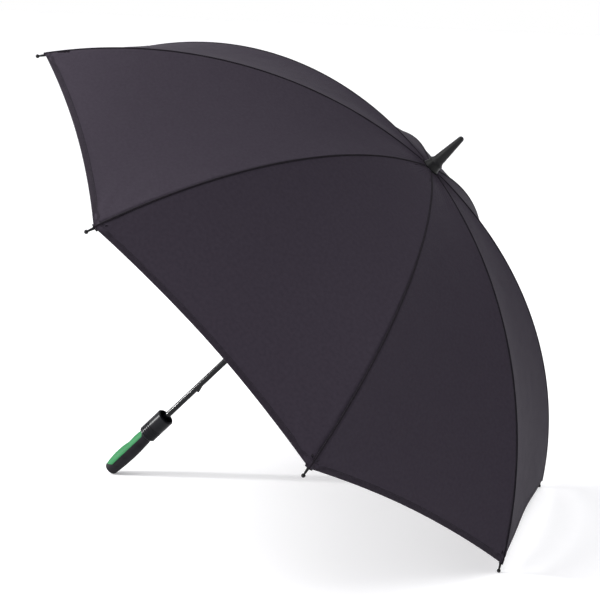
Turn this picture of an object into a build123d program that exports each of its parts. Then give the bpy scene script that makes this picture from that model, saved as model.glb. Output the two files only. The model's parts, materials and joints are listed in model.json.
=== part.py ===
from build123d import *
import os
from math import asin, atan2, cos, degrees, hypot, radians, sin, sqrt, tan

os.makedirs("parts", exist_ok=True)

# An open golf umbrella that leans on the floor on the end of its handle and on two rib tips.
#
# Everything is drawn in the umbrella's own axes first, in millimetres. The shaft runs along Z,
# with the ferrule at the top. The origin is on the shaft, level with the rib hinges at the crown.
# +X is the side that lies towards the floor, midway between the two ribs that touch it.
# At the end, every piece is tipped over by the same amount and stood on the floor.

# ---- canopy frame -------------------------------------------------------------------------------
RIB_COUNT = 8
HALF_GORE = 180 / RIB_COUNT
RIB_LENGTH = 750
RIB_TURN = 52
RIB_START_SLOPE = 0.5
RIB_RADIUS = 2
CROWN_RING = 9.5
WIRE_RADIUS = 0.6

LUG_LENGTH = 9
LUG_THICKNESS = 2.4
EYE_RADIUS = 2.2
EYE_BORE = 1

TIP_SOCKET_LENGTH = 14
TIP_SOCKET_RADIUS = 2.45
TIP_NECK_RADIUS = 1.6
TIP_BALL_RADIUS = 3.5
TIP_REACH = 13.6
ROD_END_GAP = 2

BRACKET_AT = 280
BRACKET_LENGTH = 14
BRACKET_WIDTH = 5.6
BRACKET_TOP = 1.2
BRACKET_WEB = 3.4
BRACKET_SLOT = 3
PIN_DROP = 6
PIN_RADIUS = 1
PIN_CLEARANCE = 0.08
CHEEK_RADIUS = 3

STRETCHER_RADIUS = 1.7

# ---- canopy cloth -------------------------------------------------------------------------------
CLOTH_GAP = 3
CLOTH_THICKNESS = 0.8
SEAM_GAP = 0.4
HEM_DEPTH = 15
CROWN_HOLE = 8

# ---- shaft, crown and ferrule -------------------------------------------------------------------
SHAFT_RADIUS = 6
SHAFT_WALL = 1.2
SHAFT_TOP = 32
NOTCH_RADIUS = 13
NOTCH_TOP = 2.4
NOTCH_BOTTOM = -3
NOTCH_SLOT = 3
NOTCH_HUB = 6.8

WASHER_RADIUS = 17
WASHER_BOTTOM = 4.4
WASHER_THICKNESS = 1.2
CAP_BOTTOM_RADIUS = 16
CAP_TOP_RADIUS = 13
CAP_TOP = 17
FLANGE_RADIUS = 14.6
FLANGE_THICKNESS = 2
FLARE_TOP = 29
FLARE_RADIUS = 10.6
FERRULE_LENGTH = 87
FERRULE_TIP_RADIUS = 5.4

# ---- runner and catches -------------------------------------------------------------------------
# Heights on the runner are counted from the stretchers' eyes.
RUNNER_RING = 14.5
RUNNER_FIT = 0.06
RUNNER_SLEEVE_RADIUS = 10.8
RUNNER_HEAD_RADIUS = 18.5
RUNNER_HEAD_HALF = 3
RUNNER_HUB = 11.8
RUNNER_TOP = 5
RUNNER_LENGTH = 52
THUMB_RING_RADIUS = 14.5
THUMB_RING_THICKNESS = 4
WINDOW_TOP = -14
WINDOW_BOTTOM = -38
KEYWAY_WIDTH = 3.4
KEYWAY_RADIUS = 9.8

CATCH_WIDTH = 2.4
CATCH_LENGTH = 16
CATCH_ROOT = 2.5
CATCH_LOW = 5.8
CATCH_PEAK = 9.2
CATCH_FLAT = 3
CATCH_PLAY = 0.5
CATCH_SLOT_WIDTH = 2.8
BOTTOM_CATCH_END = -654

STOP_PIN_RADIUS = 1.25
STOP_PIN_REACH = 9
STOP_PIN_PLAY = 0.3

# ---- handle -------------------------------------------------------------------------------------
CUP_MOUTH = -742
CUP_BOTTOM = -802
CUP_RADIUS = 18.7
CUP_WALL = 2.5
CUP_FLOOR = 5
CUP_CHAMFER = 2.4
CUP_GROOVES = 5
CUP_GROOVE_PITCH = 5
CUP_GROOVE_DEPTH = 1.3
CUP_GROOVE_WIDTH = 2
CUP_FIRST_GROOVE = -796

GRIP_TOP_RADIUS = 14.2
GRIP_MIDDLE = (17, -858)
GRIP_END = -918
GRIP_END_RADIUS = 14
GRIP_END_ROUND = 6
CORE_RADIUS = 10.5
CORE_END = -911
SHAFT_BOTTOM = -906

INSERT_TOP = -803.5
INSERT_END = -911
INSERT_WAIST = (14.4, -841)
INSERT_UPPER_SWELL = (15.5, -821)
INSERT_LOWER_SWELL = (17.3, -866)
INSERT_TOP_RADIUS = 14
INSERT_END_RADIUS = 14.2
INSERT_EDGE = -3.2
INSERT_EDGE_TOP = -811
INSERT_EDGE_END = -898
INSERT_CROWN = (-8.5, INSERT_TOP)
INSERT_SHOULDER = (-16, -808.5)

# ---- geometry that follows from the sizes above -------------------------------------------------
ARC_RADIUS = RIB_LENGTH / radians(RIB_TURN)
ARC_X = CROWN_RING - ARC_RADIUS * sin(radians(RIB_START_SLOPE))
ARC_Z = -ARC_RADIUS * cos(radians(RIB_START_SLOPE))
FAR = 2 * RIB_LENGTH


def slope_at(length):
    """The rib's downward slope in degrees, this far along it from its hinge."""
    return RIB_START_SLOPE + degrees(length / ARC_RADIUS)


def rib_point(length, lift=0):
    """(radius, height) of a point this far along the rib and lifted this far outwards."""
    turn = radians(slope_at(length))
    reach = ARC_RADIUS + lift
    return ARC_X + reach * sin(turn), ARC_Z + reach * cos(turn)


def turned(point, angle):
    """A (radius, height) point after a downward turn in degrees about the crown hinge."""
    x, z = point[0] - CROWN_RING, point[1]
    c, s = cos(radians(angle)), sin(radians(angle))
    return CROWN_RING + x * c + z * s, z * c - x * s


def ball_centre():
    x, z = rib_point(RIB_LENGTH)
    end_slope = radians(slope_at(RIB_LENGTH))
    return x + TIP_REACH * cos(end_slope), z - TIP_REACH * sin(end_slope)


# The ribs close until the tips' balls stand in a ring round the shaft.
CLOSED_BALL_RING = SHAFT_RADIUS + TIP_BALL_RADIUS + 2
BALL = ball_centre()
BALL_REACH = hypot(BALL[0] - CROWN_RING, BALL[1])
BALL_SLOPE_OPEN = degrees(atan2(-BALL[1], BALL[0] - CROWN_RING))
BALL_SLOPE_CLOSED = 90 - degrees(asin((CLOSED_BALL_RING - CROWN_RING) / BALL_REACH))
RIB_FOLD = BALL_SLOPE_CLOSED - BALL_SLOPE_OPEN

# The closed runner has the bottom catch at the lower end of its window. The stretcher's length
# follows, and with it the height of the open runner.
PIN_OPEN = rib_point(BRACKET_AT, -PIN_DROP)
PIN_CLOSED = turned(PIN_OPEN, RIB_FOLD)
RUNNER_CLOSED = BOTTOM_CATCH_END - CATCH_PLAY - WINDOW_BOTTOM
STRETCHER_LENGTH = hypot(PIN_CLOSED[0] - RUNNER_RING, PIN_CLOSED[1] - RUNNER_CLOSED)
RUNNER_OPEN = PIN_OPEN[1] - sqrt(STRETCHER_LENGTH**2 - (PIN_OPEN[0] - RUNNER_RING) ** 2)
RUNNER_TRAVEL = RUNNER_OPEN - RUNNER_CLOSED
STRETCHER_OPEN_SLOPE = degrees(atan2(PIN_OPEN[1] - RUNNER_OPEN, PIN_OPEN[0] - RUNNER_RING))
STRETCHER_CLOSED_SLOPE = degrees(
    atan2(PIN_CLOSED[1] - RUNNER_CLOSED, PIN_CLOSED[0] - RUNNER_RING)
)
STRETCHER_FOLD = RIB_FOLD + STRETCHER_CLOSED_SLOPE - STRETCHER_OPEN_SLOPE
TOP_CATCH_TOP = RUNNER_OPEN + WINDOW_TOP - CATCH_PLAY
CATCH_TRAVEL = CATCH_PEAK - CATCH_LOW


def rib_angles():
    """The ribs stand in mirrored pairs about +X: two of them reach the floor."""
    first = -180 + HALF_GORE
    return [first + 2 * HALF_GORE * i for i in range(RIB_COUNT)]


def around(radius, bottom, top):
    """A plain disc or rod on the shaft's axis, between two heights."""
    height = top - bottom
    return Pos(0, 0, bottom + height / 2) * Cylinder(radius, height)


def ring(inner, outer, bottom, top):
    return around(outer, bottom, top) - around(inner, bottom - 1, top + 1)


def turned_solid(*edges):
    """A solid turned about the shaft's axis from an outline of (radius, height) edges."""
    outline = make_face(Plane.XZ * Wire(edges))
    return revolve(outline, Axis.Z)


def line(*points):
    """Straight edges from point to point of an outline."""
    return Polyline(*points).edges()


def wire_ring(radius, height):
    return Pos(0, 0, height) * Torus(radius, WIRE_RADIUS)


def radial_slots(inner, outer, width, bottom, top):
    """One slot for each rib, open outwards from an inner radius."""
    length, height = outer - inner + 1, top - bottom
    slot = Pos(inner + length / 2, 0, bottom + height / 2) * Box(length, width, height)
    return Compound([Rot(0, 0, a) * slot for a in rib_angles()])


def eye_lug(length, bore):
    """A flat lug along +X with a drilled eye at its root, centred on the origin."""
    bar = Pos(length / 2, 0, 0) * Box(length, LUG_THICKNESS, 2 * EYE_RADIUS)
    eye = Rot(90, 0, 0) * Cylinder(EYE_RADIUS, LUG_THICKNESS)
    hole = Rot(90, 0, 0) * Cylinder(bore, 2 * LUG_THICKNESS)
    return bar + eye - hole


# ---- ribs, tips, brackets and stretchers, drawn once in the XZ plane ----------------------------
def make_rod():
    """The bent rod of the rib, from the end of its lug to its end inside the tip."""
    start = LUG_LENGTH - 1
    end = RIB_LENGTH - ROD_END_GAP
    x, z = rib_point(start)
    slope = radians(slope_at(start))
    section = Plane((x, 0, z), z_dir=(cos(slope), 0, -sin(slope))) * Circle(RIB_RADIUS)
    turn = degrees((end - start) / ARC_RADIUS)
    return revolve(section, Axis((ARC_X, 0, ARC_Z), (0, 1, 0)), turn)


def make_rib():
    lug = Pos(CROWN_RING, 0, 0) * Rot(0, RIB_START_SLOPE, 0) * eye_lug(LUG_LENGTH, EYE_BORE)
    return lug + make_rod()


def make_tip():
    """The moulded tip: a socket on the rod, a tapered neck past the cloth and a ball."""
    neck = TIP_REACH - TIP_BALL_RADIUS / 2
    socket = Pos(0, 0, -TIP_SOCKET_LENGTH / 2) * Cylinder(TIP_SOCKET_RADIUS, TIP_SOCKET_LENGTH)
    taper = Pos(0, 0, neck / 2) * Cone(TIP_SOCKET_RADIUS, TIP_NECK_RADIUS, neck)
    ball = Pos(0, 0, TIP_REACH) * Sphere(TIP_BALL_RADIUS)
    x, z = rib_point(RIB_LENGTH)
    place = Pos(x, 0, z) * Rot(0, 90 + slope_at(RIB_LENGTH), 0)
    return place * (socket + taper + ball) - make_rod()


def make_bracket():
    """The clip on the rib, with two cheeks below it and the riveted pin between them."""
    x, z = rib_point(BRACKET_AT)
    place = Pos(x, 0, z) * Rot(0, slope_at(BRACKET_AT), 0)
    clip_height = BRACKET_TOP + BRACKET_WEB
    clip = Pos(0, 0, BRACKET_TOP - clip_height / 2) * Box(BRACKET_LENGTH, BRACKET_WIDTH, clip_height)
    neck = Pos(0, 0, -PIN_DROP / 2) * Box(2 * CHEEK_RADIUS, BRACKET_WIDTH, PIN_DROP)
    boss = Pos(0, 0, -PIN_DROP) * Rot(90, 0, 0) * Cylinder(CHEEK_RADIUS, BRACKET_WIDTH)
    slot_bottom = PIN_DROP + CHEEK_RADIUS + 1
    slot_height = slot_bottom - BRACKET_WEB
    slot = Pos(0, 0, -BRACKET_WEB - slot_height / 2) * Box(BRACKET_LENGTH, BRACKET_SLOT, slot_height)
    pin = Pos(0, 0, -PIN_DROP) * Rot(90, 0, 0) * Cylinder(PIN_RADIUS, BRACKET_WIDTH)
    clip = place * (clip + neck + boss - slot - pin) - make_rod()
    return Compound([clip, place * pin])


def make_stretcher():
    """A straight rod with a flat drilled lug at each end."""
    rod_length = STRETCHER_LENGTH - 2 * LUG_LENGTH + 2
    lug = eye_lug(LUG_LENGTH, PIN_RADIUS + PIN_CLEARANCE)
    rod = Pos(STRETCHER_LENGTH / 2, 0, 0) * Rot(0, 90, 0) * Cylinder(STRETCHER_RADIUS, rod_length)
    bar = lug + rod + Pos(STRETCHER_LENGTH, 0, 0) * Rot(0, 180, 0) * lug
    return Pos(RUNNER_RING, 0, RUNNER_OPEN) * Rot(0, -STRETCHER_OPEN_SLOPE, 0) * bar


# ---- canopy, drawn once about the XZ plane ------------------------------------------------------
def dome(lift):
    """A bar that is as wide as the canopy, with the gore's side view as its section.

    The cloth is straight from rib to rib, so halfway between them the ribs' arc becomes an
    ellipse that is narrower by the cosine of half a gore.
    """
    narrow = cos(radians(HALF_GORE))
    reach = ARC_RADIUS + lift
    side = Plane.XZ * Pos(ARC_X * narrow, ARC_Z) * Ellipse(reach * narrow, reach)
    return extrude(side, RIB_LENGTH / 2, both=True)


def gore_wedge():
    """The space between two neighbouring ribs, short of the seams and of the crown."""
    half = radians(HALF_GORE)
    side = FAR * tan(half) - SEAM_GAP / cos(half)
    corner = (SEAM_GAP / sin(half), 0)
    outline = make_face(line(corner, (FAR, side), (FAR, -side), corner))
    depth = 2 * RIB_LENGTH
    return Pos(0, 0, -depth / 2) * extrude(outline, depth) - around(CROWN_HOLE, -depth, depth)


def hem_cut():
    """Everything past the hem: it curves in from tip to tip."""
    half = radians(HALF_GORE)
    x, z = rib_point(RIB_LENGTH, CLOTH_GAP)
    corner = x * sin(half)
    end_slope = radians(slope_at(RIB_LENGTH))
    down = Vector(cos(half) * cos(end_slope), 0, -sin(end_slope))
    across = Vector(0, 1, 0)
    seat = Plane(origin=(x * cos(half), 0, z), x_dir=across, z_dir=across.cross(down))
    spread, depth = 2 * corner, 2 * RIB_LENGTH
    hem = ThreePointArc((-corner, 0), (0, -HEM_DEPTH), (corner, 0))
    rest = line((corner, 0), (spread, 0), (spread, depth), (-spread, depth), (-spread, 0), (-corner, 0))
    return extrude(seat * make_face([hem.edge(), *rest]), RIB_LENGTH, both=True)


def make_gore():
    shell = dome(CLOTH_GAP + CLOTH_THICKNESS) - dome(CLOTH_GAP)
    return (shell & gore_wedge()) - hem_cut()


# ---- crown and ferrule --------------------------------------------------------------------------
def make_crown_wire():
    return wire_ring(CROWN_RING, 0)


def make_crown_notch():
    """The slotted ring that holds the ribs' eyes on a loop of wire."""
    body = ring(SHAFT_RADIUS, NOTCH_RADIUS, NOTCH_BOTTOM, NOTCH_TOP)
    slots = radial_slots(NOTCH_HUB, NOTCH_RADIUS, NOTCH_SLOT, NOTCH_BOTTOM - 1, NOTCH_TOP + 1)
    return body - slots - make_crown_wire()


def make_crown_washer():
    return ring(SHAFT_RADIUS, WASHER_RADIUS, WASHER_BOTTOM, WASHER_BOTTOM + WASHER_THICKNESS)


def make_crown_cap():
    bottom = WASHER_BOTTOM + WASHER_THICKNESS
    height = CAP_TOP - bottom
    cone = Pos(0, 0, bottom + height / 2) * Cone(CAP_BOTTOM_RADIUS, CAP_TOP_RADIUS, height)
    return cone - around(SHAFT_RADIUS, 0, FERRULE_LENGTH)


def make_ferrule():
    """A flange on the cap, a hollow flare above it and a long taper to a round nose."""
    flange_top = CAP_TOP + FLANGE_THICKNESS
    nose = FERRULE_LENGTH - FERRULE_TIP_RADIUS
    bevel = FERRULE_TIP_RADIUS * sin(radians(45))
    flare_middle = ((FLANGE_RADIUS + 2 * FLARE_RADIUS) / 3, (2 * flange_top + FLARE_TOP) / 3)
    base = line((0, nose), (0, CAP_TOP), (FLANGE_RADIUS, CAP_TOP), (FLANGE_RADIUS, flange_top))
    flare = ThreePointArc((FLANGE_RADIUS, flange_top), flare_middle, (FLARE_RADIUS, FLARE_TOP))
    taper = line((FLARE_RADIUS, FLARE_TOP), (FERRULE_TIP_RADIUS, nose))
    round_nose = ThreePointArc(
        (FERRULE_TIP_RADIUS, nose), (bevel, nose + bevel), (0, FERRULE_LENGTH)
    )
    axis = line((0, FERRULE_LENGTH), (0, nose))
    body = turned_solid(*base, flare.edge(), *taper, round_nose.edge(), *axis)
    return body - around(SHAFT_RADIUS, 0, SHAFT_TOP)


# ---- shaft, catches and stop pin ----------------------------------------------------------------
def catch_plate(square_end, ramp_end):
    """A thin wedge in the shaft, square at one end and ramped towards the other."""
    flat = square_end + (CATCH_FLAT if ramp_end > square_end else -CATCH_FLAT)
    outline = line(
        (CATCH_ROOT, square_end),
        (CATCH_PEAK, square_end),
        (CATCH_PEAK, flat),
        (CATCH_LOW, ramp_end),
        (CATCH_ROOT, ramp_end),
        (CATCH_ROOT, square_end),
    )
    return extrude(Plane.XZ * make_face(outline), CATCH_WIDTH / 2, both=True)


def make_top_catch():
    """It holds the open runner up, so its square end is at the top."""
    return catch_plate(TOP_CATCH_TOP, TOP_CATCH_TOP - CATCH_LENGTH)


def make_bottom_catch():
    """It holds the closed runner down, so its square end is at the bottom."""
    return catch_plate(BOTTOM_CATCH_END, BOTTOM_CATCH_END + CATCH_LENGTH)


def make_stop_pin():
    height = RUNNER_OPEN + RUNNER_TOP + STOP_PIN_PLAY + STOP_PIN_RADIUS
    return Pos(0, 0, height) * Rot(90, 0, 0) * Cylinder(STOP_PIN_RADIUS, 2 * STOP_PIN_REACH)


def catch_slot(low):
    """The slot in the shaft's wall for a catch whose lower end is at this height."""
    length = CATCH_LENGTH + 2 * CATCH_PLAY
    middle = low + CATCH_LENGTH / 2
    return Pos(SHAFT_RADIUS, 0, middle) * Box(SHAFT_RADIUS, CATCH_SLOT_WIDTH, length)


def make_shaft():
    tube = ring(SHAFT_RADIUS - SHAFT_WALL, SHAFT_RADIUS, SHAFT_BOTTOM, SHAFT_TOP)
    slots = catch_slot(TOP_CATCH_TOP - CATCH_LENGTH) + catch_slot(BOTTOM_CATCH_END)
    return tube - slots - make_stop_pin()


# ---- runner -------------------------------------------------------------------------------------
def make_runner():
    """The sliding sleeve: a slotted head, a window for the catch and a ring for the thumb."""
    bore = SHAFT_RADIUS + RUNNER_FIT
    bottom = RUNNER_TOP - RUNNER_LENGTH
    sleeve = around(RUNNER_SLEEVE_RADIUS, bottom, RUNNER_TOP)
    head = around(RUNNER_HEAD_RADIUS, -RUNNER_HEAD_HALF, RUNNER_HEAD_HALF)
    thumb_ring = around(THUMB_RING_RADIUS, bottom, bottom + THUMB_RING_THICKNESS)
    slots = radial_slots(
        RUNNER_HUB, RUNNER_HEAD_RADIUS, NOTCH_SLOT, -2 * RUNNER_HEAD_HALF, 2 * RUNNER_HEAD_HALF
    )
    keyway_middle = (RUNNER_TOP + bottom) / 2
    keyway = Pos(KEYWAY_RADIUS / 2, 0, keyway_middle) * Box(KEYWAY_RADIUS, KEYWAY_WIDTH, RUNNER_LENGTH)
    window_height = WINDOW_TOP - WINDOW_BOTTOM
    window = Pos(RUNNER_SLEEVE_RADIUS / 2 + 1, 0, WINDOW_BOTTOM + window_height / 2) * Box(
        RUNNER_SLEEVE_RADIUS + 2, KEYWAY_WIDTH, window_height
    )
    body = sleeve + head + thumb_ring - around(bore, bottom - 1, RUNNER_TOP + 1)
    body = body - slots - keyway - window - wire_ring(RUNNER_RING, 0)
    return Pos(0, 0, RUNNER_OPEN) * body


def make_runner_wire():
    """The loop of wire in the runner's head, cut away where a stretcher's eye needs room."""
    slots = radial_slots(
        RUNNER_HUB, RUNNER_HEAD_RADIUS, NOTCH_SLOT, -RUNNER_HEAD_HALF, RUNNER_HEAD_HALF
    )
    return Pos(0, 0, RUNNER_OPEN) * (wire_ring(RUNNER_RING, 0) - slots)


# ---- handle -------------------------------------------------------------------------------------
def make_cup():
    """The ferrule cup at the top of the handle, which takes the rib tips of the closed canopy."""
    outer = around(CUP_RADIUS, CUP_BOTTOM, CUP_MOUTH)
    outer = chamfer(outer.edges().filter_by(GeomType.CIRCLE), CUP_CHAMFER)
    hollow = around(CUP_RADIUS - CUP_WALL, CUP_BOTTOM + CUP_FLOOR, CUP_MOUTH + 1)
    body = outer - hollow - around(SHAFT_RADIUS, CUP_BOTTOM - 1, CUP_MOUTH)
    groove = ring(
        CUP_RADIUS - CUP_GROOVE_DEPTH, CUP_RADIUS + 1, -CUP_GROOVE_WIDTH / 2, CUP_GROOVE_WIDTH / 2
    )
    for i in range(CUP_GROOVES):
        body -= Pos(0, 0, CUP_FIRST_GROOVE + i * CUP_GROOVE_PITCH) * groove
    return body


def make_core():
    return ring(SHAFT_RADIUS, CORE_RADIUS, CORE_END, CUP_BOTTOM)


def insert_side():
    """The part of the handle that the coloured insert takes, as seen from the side.

    It has a round top, a straight edge and a slanting end.
    """
    top = ThreePointArc((INSERT_EDGE, INSERT_EDGE_TOP), INSERT_CROWN, INSERT_SHOULDER)
    back = -2 * CUP_RADIUS
    rest = line(
        INSERT_SHOULDER,
        (back, INSERT_SHOULDER[1]),
        (back, INSERT_END),
        (-GRIP_END_RADIUS, INSERT_END),
        (INSERT_EDGE, INSERT_EDGE_END),
        (INSERT_EDGE, INSERT_EDGE_TOP),
    )
    side = extrude(Plane.XZ * make_face([top.edge(), *rest]), 2 * CUP_RADIUS, both=True)
    return side - around(CORE_RADIUS, GRIP_END, CUP_BOTTOM)


def make_grip():
    """The rubber grip: a slim barrel with a round end, cut away for the insert."""
    shoulder = (GRIP_END_RADIUS, GRIP_END + GRIP_END_ROUND)
    bevel = GRIP_END_ROUND * (1 - sin(radians(45)))
    swell = ThreePointArc((GRIP_TOP_RADIUS, CUP_BOTTOM), GRIP_MIDDLE, shoulder)
    rounding = ThreePointArc(
        shoulder,
        (GRIP_END_RADIUS - bevel, GRIP_END + bevel),
        (GRIP_END_RADIUS - GRIP_END_ROUND, GRIP_END),
    )
    rest = line(
        (GRIP_END_RADIUS - GRIP_END_ROUND, GRIP_END),
        (0, GRIP_END),
        (0, CUP_BOTTOM),
        (GRIP_TOP_RADIUS, CUP_BOTTOM),
    )
    barrel = turned_solid(swell.edge(), rounding.edge(), *rest)
    socket = around(CORE_RADIUS, CORE_END, CUP_BOTTOM)
    return barrel - socket - insert_side()


def make_insert():
    """The coloured insert, with two swells and a waist for the fingers."""
    top = (INSERT_TOP_RADIUS, INSERT_TOP)
    end = (INSERT_END_RADIUS, INSERT_END)
    upper = ThreePointArc(top, INSERT_UPPER_SWELL, INSERT_WAIST)
    lower = ThreePointArc(INSERT_WAIST, INSERT_LOWER_SWELL, end)
    rest = line(end, (0, INSERT_END), (0, INSERT_TOP), top)
    return turned_solid(upper.edge(), lower.edge(), *rest) & insert_side()


# ---- the pieces by name -------------------------------------------------------------------------
def all_pieces():
    pieces = {
        "shaft": make_shaft(),
        "ferrule": make_ferrule(),
        "crown_cap": make_crown_cap(),
        "crown_washer": make_crown_washer(),
        "crown_notch": make_crown_notch(),
        "crown_wire": make_crown_wire(),
        "runner": make_runner(),
        "runner_wire": make_runner_wire(),
        "runner_stop_pin": make_stop_pin(),
        "top_catch": make_top_catch(),
        "bottom_catch": make_bottom_catch(),
        "handle_cup": make_cup(),
        "handle_core": make_core(),
        "handle_grip": make_grip(),
        "handle_insert": make_insert(),
    }
    for_each_rib = {
        "rib": (make_rib(), 0),
        "rib_tip": (make_tip(), 0),
        "rib_bracket": (make_bracket(), 0),
        "stretcher": (make_stretcher(), 0),
        "canopy_gore": (make_gore(), HALF_GORE),
    }
    for name, (piece, offset) in for_each_rib.items():
        for number, angle in enumerate(rib_angles(), 1):
            pieces[f"{name}_{number}"] = Rot(0, 0, angle + offset) * piece
    return pieces


# ---- standing on the floor ----------------------------------------------------------------------
def lean_angle():
    """How far the shaft rises from the floor, with the grip's end and two balls touching it."""
    grip = (GRIP_END_RADIUS - GRIP_END_ROUND, GRIP_END + GRIP_END_ROUND)
    ball = (BALL[0] * cos(radians(HALF_GORE)), BALL[1])
    across, along = ball[0] - grip[0], ball[1] - grip[1]
    tilt = asin((TIP_BALL_RADIUS - GRIP_END_ROUND) / hypot(across, along))
    return degrees(atan2(across, along) + tilt)


def standing(pieces):
    """Tip every piece over, then centre the whole on the floor. Returns (pieces, placement)."""
    tip_over = Rot(0, 90 - lean_angle(), 0)
    box = Compound([tip_over * piece for piece in pieces.values()]).bounding_box()
    shift = Pos(-box.center().X, 0, -box.min.Z)
    place = shift * tip_over
    return {name: place * piece for name, piece in pieces.items()}, place


PIECES, PLACE = standing(all_pieces())
for name, piece in PIECES.items():
    export_step(piece, f"parts/{name}.step")
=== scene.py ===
import json
from math import atan2, cos, hypot, pi, radians, sin

import bpy
from mathutils import Euler, Matrix, Vector


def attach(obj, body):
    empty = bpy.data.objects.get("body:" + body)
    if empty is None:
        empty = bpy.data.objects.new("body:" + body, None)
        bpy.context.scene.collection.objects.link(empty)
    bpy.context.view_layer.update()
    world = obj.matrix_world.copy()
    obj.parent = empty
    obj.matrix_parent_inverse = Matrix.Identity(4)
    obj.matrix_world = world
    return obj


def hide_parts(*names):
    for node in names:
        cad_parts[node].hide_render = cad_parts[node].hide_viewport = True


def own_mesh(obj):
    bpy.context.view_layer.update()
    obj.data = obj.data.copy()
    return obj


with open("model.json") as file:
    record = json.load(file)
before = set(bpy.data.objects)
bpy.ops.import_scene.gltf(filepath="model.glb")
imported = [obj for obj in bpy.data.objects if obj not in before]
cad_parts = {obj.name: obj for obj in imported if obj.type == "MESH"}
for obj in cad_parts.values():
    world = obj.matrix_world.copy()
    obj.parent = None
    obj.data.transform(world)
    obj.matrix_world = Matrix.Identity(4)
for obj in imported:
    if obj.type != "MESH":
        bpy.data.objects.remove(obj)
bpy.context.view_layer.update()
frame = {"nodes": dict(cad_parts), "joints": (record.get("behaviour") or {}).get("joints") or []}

JOINTS = {joint["name"]: joint for joint in frame["joints"]}

# ---- the canopy's design, in metres and radians -------------------------------------------------
# The ribs and the hole at the crown are those of the CAD model. The hem curves in 0.2 mm more.
RIB_COUNT = sum(name.startswith("rib_") for name in JOINTS)
HALF_GORE = radians(180 / RIB_COUNT)
RIB_LENGTH = 0.750
RIB_TURN = radians(52)
RIB_START_SLOPE = radians(0.5)
ARC_RADIUS = RIB_LENGTH / RIB_TURN
CROWN_HOLE = 0.008
HEM_DEPTH = 0.0152

# The cloth lies CLOTH_LIFT outside the ribs' middle line.
CLOTH_LIFT = 0.0036
CLOTH_THICKNESS = 0.0003
CLOTH_EDGE_INSET = 0.0012
THREAD_PITCH = 0.0005
GORE_ROWS = 110
GORE_COLUMNS = 49

# How far the stretched cloth stands off its tight surface in each kind of fold, and how far each
# kind reaches from its cause.
SAG = 0.012
SAG_SHIFT = 1.6
CROWN_GATHER = 0.0006
CROWN_GATHER_REACH = 0.22
CROWN_FLAT_SHARE = 0.03
SEAM_PUCKER = 0.00030
SEAM_PUCKER_REACH = 0.05
SEAM_PUCKER_START = 0.004
PUCKER_WAVES = (0.021, 0.0137)
LONG_WAVE = 0.0010
LONG_WAVE_LENGTH = 0.058
TIP_PULL = 0.0016
TIP_PULL_REACH = 0.16
TIP_FAN_WIDTH = 0.28
TIP_FLAT_SHARE = 0.03
HEM_FLUTTER = 0.0012
HEM_FLUTTER_REACH = 0.12

# Seams: a sewn strip with a ridge outside, and a wider allowance inside.
SEAM_START = 0.014
SEAM_STEPS = 150
SEAM_HALF_WIDTH = 0.0025
SEAM_RIDGE = 0.0016
SEAM_CROWN_SHARE = 0.35
SEAM_WIDENING = 0.06
ALLOWANCE_HALF_WIDTH = 0.0085
ALLOWANCE_TOP = -0.0003
ALLOWANCE_BOTTOM = -0.0006
TIP_POCKET = 0.0015

# Hems: a flat tube that reaches almost from rib to rib.
HEM_STEPS = 97
HEM_SHARE = 0.996
HEM_WIDTH = 0.011
HEM_BUILD_UP = 0.00055

# Stitches: the heights of a stitch's top and sides are in radii of the thread.
STITCH_LENGTH = 0.0023
STITCH_PITCH = 0.0033
STITCH_RADIUS = 0.00022
STITCH_TOP = 1.6
STITCH_SIDE_RISE = 0.3
SEAM_ROW_SHARE = 0.55
SEAM_ROW_START = 0.01
SEAM_ROW_END = 0.012
HEM_ROW_INSET = 0.0018
HEM_ROW_END = 0.006

# ---- places read from the frame -----------------------------------------------------------------
RIB_HINGES = [Vector(JOINTS[f"rib_{i + 1}_hinge"]["pos_m"]) for i in range(RIB_COUNT)]
CROWN = sum(RIB_HINGES, Vector()) / RIB_COUNT
CROWN_RING = (RIB_HINGES[0] - CROWN).length
SHAFT_UP = -Vector(JOINTS["runner_slide"]["axis"]).normalized()
ARC_X = CROWN_RING - ARC_RADIUS * sin(RIB_START_SLOPE)
ARC_Z = -ARC_RADIUS * cos(RIB_START_SLOPE)


def rib_out(i):
    """The direction from the shaft to rib i, counted from 0 and round again."""
    return (RIB_HINGES[i % RIB_COUNT] - CROWN).normalized()


def gore_out(k):
    """The direction from the shaft to the middle of gore k."""
    return (rib_out(k) + rib_out(k + 1)).normalized()


def gore_across(k):
    """The direction across gore k, from its own rib to the next one."""
    return (rib_out(k + 1) - rib_out(k)).normalized()


# ---- camera, floor and light --------------------------------------------------------------------
CAMERA_PLACE = Vector((0.8015, -2.8183, 0.9911))
CAMERA_AZIMUTH = 16.161
CAMERA_ELEVATION = 11.399
CAMERA_ROLL = 2.094
CAMERA_LENS = 92.64
SENSOR_WIDTH = 36

FLOOR_HALF_WIDTH = 40
FLOOR_GLOW = 0.25
ROOM_WHITE_BELOW = 0.12
ROOM_DIM_ABOVE = 0.45
ROOM_DIM_COLOUR = (0.30, 0.30, 0.33, 1)
ROOM_LEAN = 0.45


def make_camera():
    data = bpy.data.cameras.new("camera")
    data.lens = CAMERA_LENS
    data.sensor_width = SENSOR_WIDTH
    data.clip_end = 50
    camera = bpy.data.objects.new("camera", data)
    level = Euler((radians(90 - CAMERA_ELEVATION), 0, radians(CAMERA_AZIMUTH)), "XYZ")
    camera.matrix_world = (
        Matrix.Translation(CAMERA_PLACE)
        @ level.to_matrix().to_4x4()
        @ Matrix.Rotation(radians(CAMERA_ROLL), 4, "Z")
    )
    bpy.context.scene.collection.objects.link(camera)
    bpy.context.scene.camera = camera


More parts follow.
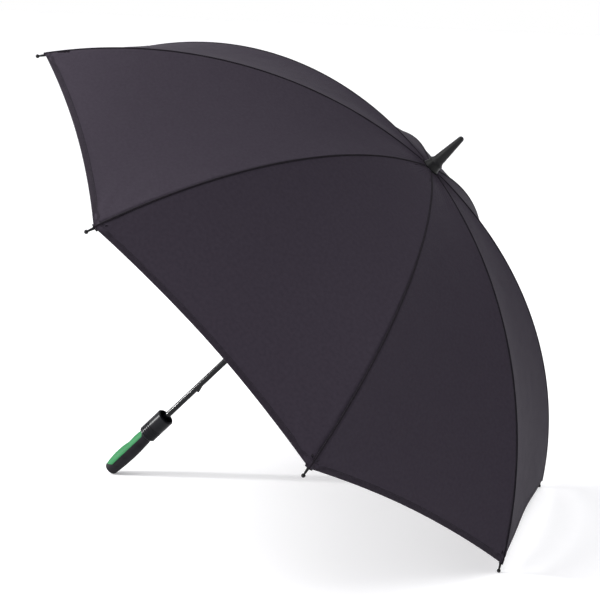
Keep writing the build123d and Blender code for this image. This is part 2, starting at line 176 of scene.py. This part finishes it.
def make_area_light(name, place, aim, width, height, power):
    """A rectangular lamp at a place, turned towards its aim. The power is in watts."""
    data = bpy.data.lights.new(name, "AREA")
    data.shape = "RECTANGLE"
    data.size = width
    data.size_y = height
    data.energy = power
    light = bpy.data.objects.new(name, data)
    light.location = place
    light.rotation_euler = (Vector(aim) - Vector(place)).to_track_quat("-Z", "Y").to_euler()
    bpy.context.scene.collection.objects.link(light)


def make_sky_glow(name, strength, spread_angle):
    """Even light from straight above: it whitens the whole floor and gives the soft shadow."""
    data = bpy.data.lights.new(name, "SUN")
    data.energy = strength
    data.angle = radians(spread_angle)
    bpy.context.scene.collection.objects.link(bpy.data.objects.new(name, data))


def make_world():
    """A pale room: white below and towards -X, dimmer overhead and towards +X."""
    world = bpy.data.worlds.new("studio")
    world.use_nodes = True
    tree = world.node_tree
    background = tree.nodes["Background"]
    background.inputs["Strength"].default_value = 1.0
    place = tree.nodes.new("ShaderNodeTexCoord")
    split = tree.nodes.new("ShaderNodeSeparateXYZ")
    tree.links.new(place.outputs["Generated"], split.inputs["Vector"])
    fade = tree.nodes.new("ShaderNodeValToRGB")
    fade.color_ramp.elements[0].position = ROOM_WHITE_BELOW
    fade.color_ramp.elements[0].color = (1, 1, 1, 1)
    fade.color_ramp.elements[1].position = ROOM_DIM_ABOVE
    fade.color_ramp.elements[1].color = ROOM_DIM_COLOUR
    lean = tree.nodes.new("ShaderNodeMath")
    lean.operation = "MULTIPLY_ADD"
    lean.inputs[1].default_value = ROOM_LEAN
    tree.links.new(split.outputs["X"], lean.inputs[0])
    tree.links.new(split.outputs["Z"], lean.inputs[2])
    tree.links.new(lean.outputs["Value"], fade.inputs["Fac"])
    tree.links.new(fade.outputs["Color"], background.inputs["Color"])
    bpy.context.scene.world = world
    bpy.context.scene.view_settings.view_transform = "Standard"


def make_studio():
    """The room, its lamps and the floor. The strip is what the shaft's highlight line mirrors."""
    make_world()
    middle = (0, 0, 0.4)
    lower_shaft = (-0.2, 0, 0.2)
    make_area_light("key", (-2.6, -1.9, 2.5), middle, width=1.6, height=1.6, power=56)
    make_area_light("top", (-1.5, -0.9, 3.3), middle, width=2.2, height=2.2, power=24)
    make_sky_glow("sky", strength=1.55, spread_angle=70)
    make_area_light("strip", (-2.92, -1.07, 0.89), lower_shaft, width=0.14, height=0.34, power=72)

    mesh = bpy.data.meshes.new("floor")
    half = FLOOR_HALF_WIDTH
    corners = [(-half, -half, 0), (half, -half, 0), (half, half, 0), (-half, half, 0)]
    mesh.from_pydata(corners, [], [(0, 1, 2, 3)])
    floor = bpy.data.objects.new("floor", mesh)
    bpy.context.scene.collection.objects.link(floor)
    floor.data.materials.append(plain_floor())


# ---- materials ----------------------------------------------------------------------------------
def new_material(name, colour, roughness, **sockets):
    """A Principled material with these constants on its own sockets.

    Returns (material, node tree, shader).
    """
    material = bpy.data.materials.new(name)
    material.use_nodes = True
    tree = material.node_tree
    shader = tree.nodes["Principled BSDF"]
    shader.inputs["Base Color"].default_value = (*colour, 1)
    shader.inputs["Roughness"].default_value = roughness
    for socket, value in sockets.items():
        shader.inputs[socket.replace("_", " ")].default_value = value
    return material, tree, shader


def add_node(tree, kind, **values):
    """A node whose named inputs are set."""
    node = tree.nodes.new(kind)
    for key, value in values.items():
        node.inputs[key.replace("_", " ")].default_value = value
    return node


def noise(tree, scale, detail=3, vector=None):
    node = add_node(tree, "ShaderNodeTexNoise", Scale=scale, Detail=detail)
    if vector is None:
        vector = tree.nodes.new("ShaderNodeTexCoord").outputs["Object"]
    tree.links.new(vector, node.inputs["Vector"])
    return node.outputs["Fac"]


def ramp(tree, factor, low, high, start=0.35, end=0.65):
    """Turns a factor into a colour between low and high."""
    node = tree.nodes.new("ShaderNodeValToRGB")
    node.color_ramp.elements[0].position = start
    node.color_ramp.elements[1].position = end
    node.color_ramp.elements[0].color = (*low, 1)
    node.color_ramp.elements[1].color = (*high, 1)
    tree.links.new(factor, node.inputs["Fac"])
    return node.outputs["Color"]


def spread(tree, factor, low, high):
    """Turns a factor from 0 to 1 into a number between low and high."""
    node = add_node(tree, "ShaderNodeMapRange", To_Min=low, To_Max=high)
    tree.links.new(factor, node.inputs["Value"])
    return node.outputs["Result"]


def bump(tree, shader, height, strength, distance, under=None):
    """Raises the surface by a height pattern, on top of the bumps of the normal under it."""
    node = add_node(tree, "ShaderNodeBump", Strength=strength, Distance=distance)
    tree.links.new(height, node.inputs["Height"])
    if under is not None:
        tree.links.new(under, node.inputs["Normal"])
    tree.links.new(node.outputs["Normal"], shader.inputs["Normal"])


def multiply(tree, a, b):
    node = tree.nodes.new("ShaderNodeMath")
    node.operation = "MULTIPLY"
    tree.links.new(a, node.inputs[0])
    tree.links.new(b, node.inputs[1])
    return node.outputs[0]


def plain_floor():
    """White paper. A little glow of its own keeps the shadow on it as light as in a studio picture."""
    material, tree, shader = new_material("white_floor", (0.92, 0.92, 0.92), 0.7, Specular_IOR_Level=0.1)
    shader.inputs["Emission Color"].default_value = (1, 1, 1, 1)
    shader.inputs["Emission Strength"].default_value = FLOOR_GLOW
    colour = ramp(tree, noise(tree, 1.5), (0.90, 0.90, 0.90), (0.93, 0.93, 0.93))
    tree.links.new(colour, shader.inputs["Base Color"])
    return material


# A wave texture of scale 1 has about this many bands in a unit of length.
BANDS_PER_SCALE = 3.2


def woven_cloth(name, dark, light):
    """Plain-weave umbrella cloth. Its UV map is in metres along and across the gore."""
    material, tree, shader = new_material(
        name, dark, 0.75, Sheen_Weight=0.02, Sheen_Roughness=0.45, Specular_IOR_Level=0.10
    )
    shader.inputs["Sheen Tint"].default_value = (0.80, 0.76, 0.88, 1)
    uv = tree.nodes.new("ShaderNodeUVMap").outputs["UV"]
    threads = []
    for direction in ("X", "Y"):
        scale = 1 / (BANDS_PER_SCALE * THREAD_PITCH)
        wave = add_node(tree, "ShaderNodeTexWave", Scale=scale, Distortion=0.6, Detail=1)
        wave.bands_direction = direction
        tree.links.new(uv, wave.inputs["Vector"])
        threads.append(wave.outputs["Fac"])
    weave = multiply(tree, *threads)
    mottle = noise(tree, 160, 5, uv)
    tree.links.new(ramp(tree, mottle, dark, light), shader.inputs["Base Color"])
    tree.links.new(spread(tree, noise(tree, 30, 3, uv), 0.68, 0.84), shader.inputs["Roughness"])
    soft = add_node(tree, "ShaderNodeBump", Strength=0.12, Distance=0.0012)
    tree.links.new(noise(tree, 14, 3, uv), soft.inputs["Height"])
    bump(tree, shader, weave, 0.35, 0.00012, soft.outputs["Normal"])
    return material


def moulded_plastic(name, dark, light, roughness, gloss=0.35):
    """Moulded plastic with a fine spark-eroded grain and slightly polished patches."""
    material, tree, shader = new_material(name, dark, roughness, Specular_IOR_Level=gloss)
    tree.links.new(ramp(tree, noise(tree, 25), dark, light), shader.inputs["Base Color"])
    patches = spread(tree, noise(tree, 60), roughness - 0.08, roughness + 0.1)
    tree.links.new(patches, shader.inputs["Roughness"])
    bump(tree, shader, noise(tree, 900, 2), 0.3, 0.00008)
    return material


def painted_steel(name, dark, light, roughness):
    """Gloss paint with a faint orange peel and fine sliding scuffs."""
    material, tree, shader = new_material(name, dark, roughness, Specular_IOR_Level=0.22)
    tree.links.new(ramp(tree, noise(tree, 40), dark, light), shader.inputs["Base Color"])
    scuffs = spread(tree, noise(tree, 60, 4), roughness - 0.04, roughness + 0.06)
    tree.links.new(scuffs, shader.inputs["Roughness"])
    bump(tree, shader, noise(tree, 90, 2), 0.02, 0.00003)
    return material


def bare_steel(name):
    """Drawn steel wire with duller spots."""
    material, tree, shader = new_material(name, (0.55, 0.55, 0.57), 0.3, Metallic=1.0)
    colour = ramp(tree, noise(tree, 80), (0.42, 0.42, 0.44), (0.62, 0.62, 0.64))
    tree.links.new(colour, shader.inputs["Base Color"])
    tree.links.new(spread(tree, noise(tree, 500), 0.22, 0.42), shader.inputs["Roughness"])
    bump(tree, shader, noise(tree, 900, 2), 0.1, 0.00005)
    return material


def soft_rubber(name, dark, light, roughness):
    """Soft-touch rubber with a pebbled grain."""
    material, tree, shader = new_material(name, dark, roughness, Specular_IOR_Level=0.14)
    tree.links.new(ramp(tree, noise(tree, 45), dark, light), shader.inputs["Base Color"])
    wear = spread(tree, noise(tree, 120), roughness - 0.1, roughness + 0.1)
    tree.links.new(wear, shader.inputs["Roughness"])
    cells = add_node(tree, "ShaderNodeTexVoronoi", Scale=700)
    tree.links.new(tree.nodes.new("ShaderNodeTexCoord").outputs["Object"], cells.inputs["Vector"])
    bump(tree, shader, cells.outputs["Distance"], 0.4, 0.00015)
    return material


def knurled_rubber(name, dark, light, roughness):
    """Moulded rubber with fine ribs that run both ways, with painted shade darkening the hollows between
    them.
    """
    material, tree, shader = new_material(name, light, roughness, Specular_IOR_Level=0.25)
    place = tree.nodes.new("ShaderNodeTexCoord").outputs["Object"]
    ribs = []
    for direction, scale in (("DIAGONAL", 210), ("Y", 260)):
        wave = add_node(tree, "ShaderNodeTexWave", Scale=scale, Distortion=0.4, Detail=1)
        wave.bands_direction = direction
        tree.links.new(place, wave.inputs["Vector"])
        ribs.append(wave.outputs["Fac"])
    pattern = multiply(tree, *ribs)
    # The hollows between the ribs take the dark colour: painted shade.
    tree.links.new(ramp(tree, pattern, dark, light, 0.05, 0.55), shader.inputs["Base Color"])
    wear = spread(tree, noise(tree, 130), roughness - 0.1, roughness + 0.1)
    tree.links.new(wear, shader.inputs["Roughness"])
    bump(tree, shader, pattern, 0.5, 0.0003)
    return material


# ---- canopy -------------------------------------------------------------------------------------
def rib_profile(length, lift):
    """(distance from the shaft, height over the crown hinges) on the rib's arc, lifted outwards."""
    turn = RIB_START_SLOPE + length / ARC_RADIUS
    reach = ARC_RADIUS + lift
    return ARC_X + reach * sin(turn), ARC_Z + reach * cos(turn)


def gore_frame(k, length, share):
    """(point, outward normal) on gore k. share runs from -1 at its own rib to 1 at the next one."""
    x, z = rib_profile(length, CLOTH_LIFT)
    turn = RIB_START_SLOPE + length / ARC_RADIUS
    out, across = gore_out(k), gore_across(k)
    point = CROWN + out * (x * cos(HALF_GORE)) + across * (share * x * sin(HALF_GORE)) + SHAFT_UP * z
    normal = (out * sin(turn) + SHAFT_UP * (cos(turn) * cos(HALF_GORE))).normalized()
    return point, normal


def hem_length(share):
    """How far down the gore its hem lies: the hem curves in between the tips."""
    return RIB_LENGTH - HEM_DEPTH * (1 - share * share)


def fading(distance, reach):
    """1 at the cause of a fold, falling smoothly to 0 at its reach."""
    return max(0, 1 - distance / reach) ** 2


def slack(k, length, share):
    """How far the stretched cloth stands off its tight surface.

    It sags a little between the ribs, gathers at the crown, puckers along the seams, waves gently
    on its way down, pulls in folds towards the tips and flutters at the hem. The multiples of k
    only shift the waves, so that no two gores look alike.
    """
    middle = 1 - share * share
    edge = 1 - abs(share)
    down = length / RIB_LENGTH
    side = 1 if share > 0 else -1

    sag = -SAG * middle * sin(pi * down ** SAG_SHIFT)
    gathers = CROWN_GATHER * sin(9 * share * pi + k)
    crown = gathers * fading(down, CROWN_GATHER_REACH) * min(1, down / CROWN_FLAT_SHARE)

    from_seam = edge * length * sin(HALF_GORE)
    long_ripple, short_ripple = PUCKER_WAVES
    ripple = sin(length / long_ripple + 2.1 * k + side) + 0.6 * sin(length / short_ripple + k)
    rise = min(1, from_seam / SEAM_PUCKER_START)
    pucker = SEAM_PUCKER * ripple * rise * fading(from_seam, SEAM_PUCKER_REACH)

    across = sin(2.4 * share + 0.8 * k) * middle
    long_wave = LONG_WAVE * sin(length / LONG_WAVE_LENGTH + 1.7 * k) * across

    to_tip = hypot(RIB_LENGTH - length, edge * TIP_FAN_WIDTH)
    angle = atan2(edge * TIP_FAN_WIDTH, max(1e-4, RIB_LENGTH - length))
    fan = TIP_PULL * sin(14 * angle + k)
    pull = fan * fading(to_tip, TIP_PULL_REACH) * min(1, edge / TIP_FLAT_SHARE)

    flutter = HEM_FLUTTER * sin(5.2 * share + 1.3 * k) * middle * fading(1 - down, HEM_FLUTTER_REACH)
    return sag + crown + pucker + long_wave + pull + flutter


def cloth_point(k, length, share, raised=0.0):
    """A point on gore k's cloth, or this much over it."""
    point, normal = gore_frame(k, length, share)
    return point + normal * (slack(k, length, share) + raised)


def cloth_uv(length, share):
    """Metres across the gore from its middle, and metres down from the crown."""
    return share * rib_profile(length, 0)[0] * sin(HALF_GORE), length


def mesh_object(name, points, faces, material, uvs=None, smooth=True):
    mesh = bpy.data.meshes.new(name)
    mesh.from_pydata(points, [], faces)
    mesh.validate()
    if smooth:
        mesh.shade_smooth()
    if uvs:
        layer = mesh.uv_layers.new(name="UVMap")
        for loop in mesh.loops:
            layer.data[loop.index].uv = uvs[loop.vertex_index]
    mesh.materials.append(material)
    piece = bpy.data.objects.new(name, mesh)
    bpy.context.scene.collection.objects.link(piece)
    return piece


def grid_faces(rows, columns, closed_rows=False):
    """Quads between neighbouring rows of points. With closed_rows each row is a loop."""
    faces = []
    last = columns if closed_rows else columns - 1
    for r in range(rows - 1):
        for c in range(last):
            n = (c + 1) % columns
            above, below = r * columns, (r + 1) * columns
            faces.append((above + c, above + n, below + n, below + c))
    return faces


def end_faces(rows, columns):
    """The faces that close the first and the last loop of a tube made by grid_faces."""
    first = tuple(range(columns))
    last = tuple(range((rows - 1) * columns, rows * columns))
    return first, last


def apply_modifiers(piece):
    """Gives the piece the mesh that its modifiers make."""
    depsgraph = bpy.context.evaluated_depsgraph_get()
    mesh = bpy.data.meshes.new_from_object(piece.evaluated_get(depsgraph))
    piece.modifiers.clear()
    piece.data = mesh


def fold_with(piece, k):
    """The piece rides on gore k's body, with a mesh of its own."""
    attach(piece, f"gore_{k + 1}")
    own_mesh(piece)


def make_gore(k, material):
    """Gore k's cloth, from the hole at the crown to just inside the fold of the hem."""
    points, uvs = [], []
    for r in range(GORE_ROWS):
        t = r / (GORE_ROWS - 1)
        for c in range(GORE_COLUMNS):
            share = 2 * c / (GORE_COLUMNS - 1) - 1
            length = CROWN_HOLE + t * (hem_length(share) - CLOTH_EDGE_INSET - CROWN_HOLE)
            points.append(cloth_point(k, length, share))
            uvs.append(cloth_uv(length, share))
    faces = [tuple(reversed(f)) for f in grid_faces(GORE_ROWS, GORE_COLUMNS)]
    piece = mesh_object(f"canopy_cloth_{k + 1}", points, faces, material, uvs)
    thicken = piece.modifiers.new("thickness", "SOLIDIFY")
    thicken.thickness = CLOTH_THICKNESS
    thicken.offset = 0
    apply_modifiers(piece)
    return piece


def make_hem(k, material):
    """The hem's folded edge: a flat tube that wraps the gore's lower edge.

    Its section is given as (distance back from the hem's edge, height over the cloth).
    """
    outside = [
        (HEM_WIDTH, 0.00012),
        (HEM_WIDTH - 0.0008, 0.0004),
        (HEM_WIDTH * 0.5, HEM_BUILD_UP * 0.85),
        (0.002, HEM_BUILD_UP),
        (0.0004, HEM_BUILD_UP),
    ]
    fold = (-0.0003, 0.0)
    inside = [(back, -raised) for back, raised in reversed(outside)]
    section = [*outside, fold, *inside]
    points, uvs = [], []
    for step in range(HEM_STEPS):
        share = HEM_SHARE * (2 * step / (HEM_STEPS - 1) - 1)
        for back, raised in section:
            length = hem_length(share) - back
            points.append(cloth_point(k, length, share, raised))
            uvs.append(cloth_uv(length, share))
    faces = grid_faces(HEM_STEPS, len(section), closed_rows=True)
    first, last = end_faces(HEM_STEPS, len(section))
    faces += [first, last[::-1]]
    return mesh_object(f"canopy_hem_{k + 1}", points, faces, material, uvs)


def seam_point(i, length, offset, raised):
    """A point beside rib i's seam: a negative offset is on the gore before it."""
    half_width = rib_profile(length, CLOTH_LIFT)[0] * sin(HALF_GORE)
    share = min(1.0, abs(offset) / half_width)
    if offset < 0:
        return cloth_point((i - 1) % RIB_COUNT, length, 1 - share, raised)
    return cloth_point(i % RIB_COUNT, length, share - 1, raised)


def make_seam(i, material):
    """A felled seam: a sewn strip with a ridge outside, and the wider allowance on the inside.

    Its section is given as (offset across the seam, height over the cloth).
    """
    folded_side = [
        (-SEAM_HALF_WIDTH, 0.0),
        (-SEAM_HALF_WIDTH * 0.9, 0.0005),
        (-SEAM_HALF_WIDTH * 0.45, 0.00055),
    ]
    ridge = [
        (-0.0011, 0.0007),
        (-0.0007, SEAM_RIDGE * 0.8),
        (0.0, SEAM_RIDGE),
        (0.0008, SEAM_RIDGE * 0.9),
        (0.0012, 0.0005),
    ]
    flat_side = [
        (SEAM_HALF_WIDTH * 0.6, 0.00035),
        (SEAM_HALF_WIDTH * 0.9, 0.0003),
        (SEAM_HALF_WIDTH, 0.0),
    ]
    allowance = [
        (SEAM_HALF_WIDTH, ALLOWANCE_TOP),
        (ALLOWANCE_HALF_WIDTH, ALLOWANCE_TOP),
        (ALLOWANCE_HALF_WIDTH, ALLOWANCE_BOTTOM),
        (0.0, -0.0008),
        (-ALLOWANCE_HALF_WIDTH, ALLOWANCE_BOTTOM),
        (-ALLOWANCE_HALF_WIDTH, ALLOWANCE_TOP),
        (-SEAM_HALF_WIDTH, ALLOWANCE_TOP),
    ]
    section = folded_side + ridge + flat_side + allowance
    end = RIB_LENGTH + TIP_POCKET
    points, uvs = [], []
    for step in range(SEAM_STEPS):
        length = SEAM_START + (end - SEAM_START) * step / (SEAM_STEPS - 1)
        narrow = min(1.0, SEAM_CROWN_SHARE + length / SEAM_WIDENING)
        for offset, raised in section:
            points.append(seam_point(i, length, offset * narrow, raised))
            uvs.append((offset, length))
    faces = [tuple(reversed(f)) for f in grid_faces(SEAM_STEPS, len(section), closed_rows=True)]
    first, last = end_faces(SEAM_STEPS, len(section))
    faces += [first[::-1], last]
    return mesh_object(f"canopy_seam_{i + 1}", points, faces, material, uvs)


def stitch(points, faces, start, end, normal):
    """Adds one stitch: a thread that dips into the cloth at both ends."""
    along = (end - start).normalized()
    side = along.cross(normal).normalized() * STITCH_RADIUS
    rise = normal * STITCH_RADIUS
    middle = (start + end) / 2
    right = middle + side + rise * STITCH_SIDE_RISE
    top = middle + rise * STITCH_TOP
    left = middle - side + rise * STITCH_SIDE_RISE
    bottom = middle - rise
    first = len(points)
    points += [start, right, top, left, bottom, end]
    for a, b in ((1, 2), (2, 3), (3, 4), (4, 1)):
        faces.append((first, first + b, first + a))
        faces.append((first + 5, first + a, first + b))


def make_seam_stitches(i, material):
    """Two rows of stitches, one on each side of the seam's ridge."""
    points, faces = [], []
    row_offset = SEAM_HALF_WIDTH * SEAM_ROW_SHARE
    for offset, raised in ((-row_offset, 0.0007), (row_offset, 0.0005)):
        length = SEAM_START + SEAM_ROW_START
        while length < RIB_LENGTH - SEAM_ROW_END:
            start = seam_point(i, length, offset, raised)
            end = seam_point(i, length + STITCH_LENGTH, offset, raised)
            k = (i - 1) % RIB_COUNT if offset < 0 else i
            stitch(points, faces, start, end, gore_frame(k, length, 0)[1])
            length += STITCH_PITCH
    return mesh_object(f"seam_stitches_{i + 1}", points, faces, material, smooth=False)


def make_hem_stitches(k, material):
    """A row of stitches along the hem's inner edge."""
    points, faces = [], []
    reach = rib_profile(RIB_LENGTH, CLOTH_LIFT)[0] * sin(HALF_GORE)
    count = int(2 * (reach - HEM_ROW_END) / STITCH_PITCH)
    back = HEM_WIDTH - HEM_ROW_INSET
    raised = HEM_BUILD_UP * 0.9
    for n in range(count):
        share = (-reach + HEM_ROW_END + n * STITCH_PITCH) / reach
        later = share + STITCH_LENGTH / reach
        start = cloth_point(k, hem_length(share) - back, share, raised)
        end = cloth_point(k, hem_length(later) - back, later, raised)
        stitch(points, faces, start, end, gore_frame(k, RIB_LENGTH - back, share)[1])
    return mesh_object(f"hem_stitches_{k + 1}", points, faces, material, smooth=False)


def make_canopy():
    """Each gore with its hem, and the seam over the rib on its own side."""
    cloth = woven_cloth("canopy_cloth", (0.0305, 0.0243, 0.0345), (0.0355, 0.0285, 0.0400))
    # The hem is a darker copy of the cloth: painted shade along its folded edge.
    hem_painted_shade = woven_cloth("canopy_hem_painted_shade", (0.0205, 0.0160, 0.0230), (0.0275, 0.0218, 0.0305))
    # The seams and their allowances are a much darker copy of the cloth: painted shade along the seam
    # lines.
    seam_painted_shade = woven_cloth("canopy_seam_painted_shade", (0.0085, 0.0065, 0.0095), (0.0125, 0.0095, 0.0140))
    thread = soft_rubber("canopy_thread", (0.035, 0.033, 0.038), (0.05, 0.048, 0.054), 0.6)
    for k in range(RIB_COUNT):
        gore = make_gore(k, cloth)
        hem = make_hem(k, hem_painted_shade)
        hem_row = make_hem_stitches(k, thread)
        for piece in (gore, hem, hem_row):
            fold_with(piece, k)
        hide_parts(f"canopy_gore_{k + 1}")
        seam = make_seam(k, seam_painted_shade)
        seam_row = make_seam_stitches(k, thread)
        for piece in (seam, seam_row):
            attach(piece, f"rib_{k + 1}")


# ---- finishes of the CAD pieces -----------------------------------------------------------------
def finish_node(name, material):
    """Gives a CAD node this material on all of its surfaces."""
    slots = frame["nodes"][name].material_slots
    if not slots:
        frame["nodes"][name].data.materials.append(material)
    for place in slots:
        place.material = material


def finish_nodes():
    """Finishes of the rigid pieces, which keep the shapes of the CAD model."""
    gloss = painted_steel("shaft_paint", (0.0025, 0.0028, 0.0038), (0.0045, 0.0050, 0.0065), 0.13)
    satin = painted_steel("frame_paint", (0.008, 0.008, 0.009), (0.014, 0.014, 0.015), 0.32)
    plastic = moulded_plastic("black_plastic", (0.010, 0.010, 0.0115), (0.018, 0.018, 0.020), 0.48)
    spike = moulded_plastic(
        "ferrule_plastic", (0.0065, 0.0065, 0.0070), (0.0125, 0.0125, 0.0135), 0.45, gloss=0.22
    )
    tip_plastic = moulded_plastic(
        "tip_plastic", (0.004, 0.004, 0.0045), (0.007, 0.007, 0.008), 0.40, gloss=0.2
    )
    cup = moulded_plastic(
        "cup_plastic", (0.0035, 0.0038, 0.0055), (0.006, 0.0066, 0.009), 0.30, gloss=0.16
    )
    rubber = soft_rubber("grip_rubber", (0.0055, 0.005, 0.007), (0.010, 0.009, 0.012), 0.55)
    green = knurled_rubber("insert_green", (0.008, 0.13, 0.036), (0.014, 0.20, 0.060), 0.5)
    steel = bare_steel("bare_steel")
    blackened = painted_steel("blackened_steel", (0.009, 0.009, 0.011), (0.016, 0.016, 0.018), 0.3)
    finishes = {
        "shaft": gloss,
        "ferrule": spike,
        "crown_cap": tip_plastic,
        "crown_washer": tip_plastic,
        "crown_notch": plastic,
        "runner": plastic,
        "crown_wire": steel,
        "runner_wire": steel,
        "runner_stop_pin": steel,
        "top_catch": blackened,
        "bottom_catch": blackened,
        "handle_cup": cup,
        "handle_core": plastic,
        "handle_grip": rubber,
        "handle_insert": green,
    }
    for i in range(RIB_COUNT):
        finishes[f"rib_{i + 1}"] = satin
        finishes[f"rib_bracket_{i + 1}"] = satin
        finishes[f"stretcher_{i + 1}"] = satin
        finishes[f"rib_tip_{i + 1}"] = tip_plastic
    for name, material in finishes.items():
        finish_node(name, material)


make_camera()
make_studio()
make_canopy()
finish_nodes()
